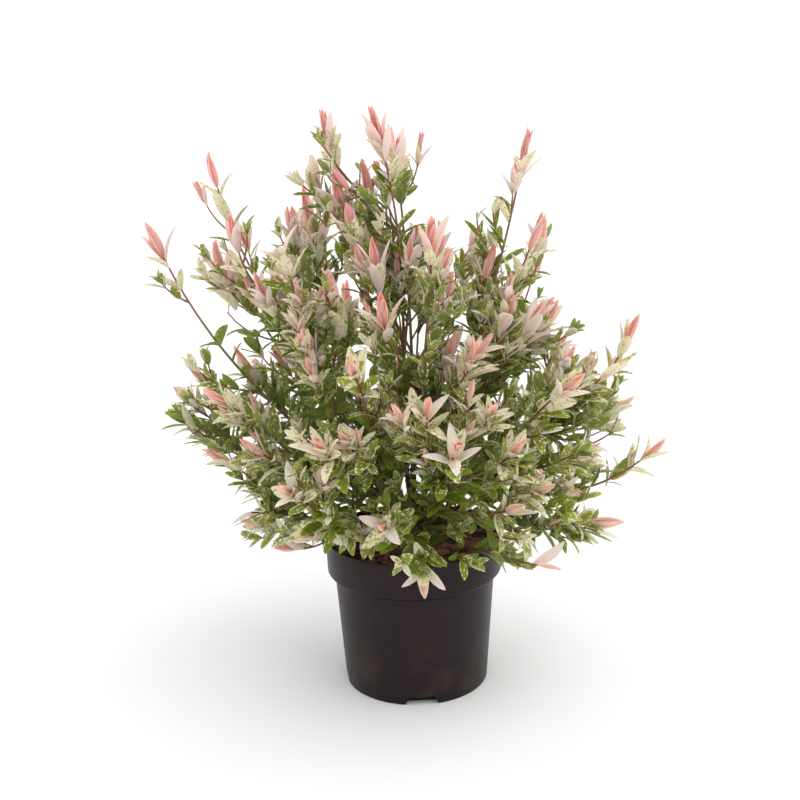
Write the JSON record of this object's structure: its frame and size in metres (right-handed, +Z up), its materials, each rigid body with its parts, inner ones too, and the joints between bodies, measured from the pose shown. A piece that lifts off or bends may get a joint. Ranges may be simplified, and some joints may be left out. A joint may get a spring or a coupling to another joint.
{
  "type": "potted dappled willow shrub",
  "caption": "Bushy dappled willow with upright stems, narrow mottled leaves and pink shoot tips, in a round black plastic nursery pot.",
  "frame": {"origin": "centre of the pot's flat underside", "axes": "+Z up, -Y the front that the picture shows, +X to its right"},
  "size_m": [0.5557, 0.4551, 0.6125],
  "materials": {
    "black_plastic": "satin charcoal plastic with a fine grain",
    "potting_bark": "coarse damp bark chips",
    "shrub_wood": "smooth brown bark, reddish on young twigs",
    "leaf_coral": "soft satin, coral pink",
    "leaf_cream": "soft satin, pinkish cream",
    "leaf_dappled": "satin green mottled with cream",
    "leaf_pale": "satin cream mottled with green",
    "leaf_green": "satin mid green"
  },
  "bodies": {
    "root": {"pot": "black_plastic", "potting_bark": "potting_bark", "stump": "shrub_wood", "bough_top_1": "shrub_wood", "bough_top_2": "shrub_wood", "bough_top_3": "shrub_wood", "bough_top_4": "shrub_wood", "bough_shoulder_1": "shrub_wood", "bough_shoulder_2": "shrub_wood", "bough_shoulder_3": "shrub_wood", "bough_shoulder_4": "shrub_wood", "bough_shoulder_5": "shrub_wood", "bough_shoulder_6": "shrub_wood", "bough_shoulder_7": "shrub_wood", "bough_shoulder_8": "shrub_wood", "bough_waist_1": "shrub_wood", "bough_waist_2": "shrub_wood", "bough_waist_3": "shrub_wood", "bough_waist_4": "shrub_wood", "bough_waist_5": "shrub_wood", "bough_waist_6": "shrub_wood", "bough_waist_7": "shrub_wood", "bough_waist_8": "shrub_wood", "bough_waist_9": "shrub_wood", "bough_spill_1": "shrub_wood", "bough_skirt_1": "shrub_wood", "bough_skirt_2": "shrub_wood", "bough_skirt_3": "shrub_wood", "bough_skirt_4": "shrub_wood", "bough_skirt_5": "shrub_wood", "bough_skirt_6": "shrub_wood", "foliage_top_1": "leaf_coral", "foliage_top_2": "leaf_coral", "foliage_top_3": "leaf_coral", "foliage_top_4": "leaf_coral", "foliage_shoulder_1": "leaf_cream", "foliage_shoulder_2": "leaf_cream", "foliage_shoulder_3": "leaf_cream", "foliage_shoulder_4": "leaf_cream", "foliage_shoulder_5": "leaf_cream", "foliage_shoulder_6": "leaf_cream", "foliage_shoulder_7": "leaf_cream", "foliage_shoulder_8": "leaf_cream", "foliage_waist_1": "leaf_dappled", "foliage_waist_2": "leaf_dappled", "foliage_waist_3": "leaf_dappled", "foliage_waist_4": "leaf_dappled", "foliage_waist_5": "leaf_dappled", "foliage_waist_6": "leaf_dappled", "foliage_waist_7": "leaf_dappled", "foliage_waist_8": "leaf_dappled", "foliage_waist_9": "leaf_dappled", "foliage_spill_1": "leaf_pale", "foliage_skirt_1": "leaf_green", "foliage_skirt_2": "leaf_green", "foliage_skirt_3": "leaf_green", "foliage_skirt_4": "leaf_green", "foliage_skirt_5": "leaf_green", "foliage_skirt_6": "leaf_green"}
  },
  "joints": []
}
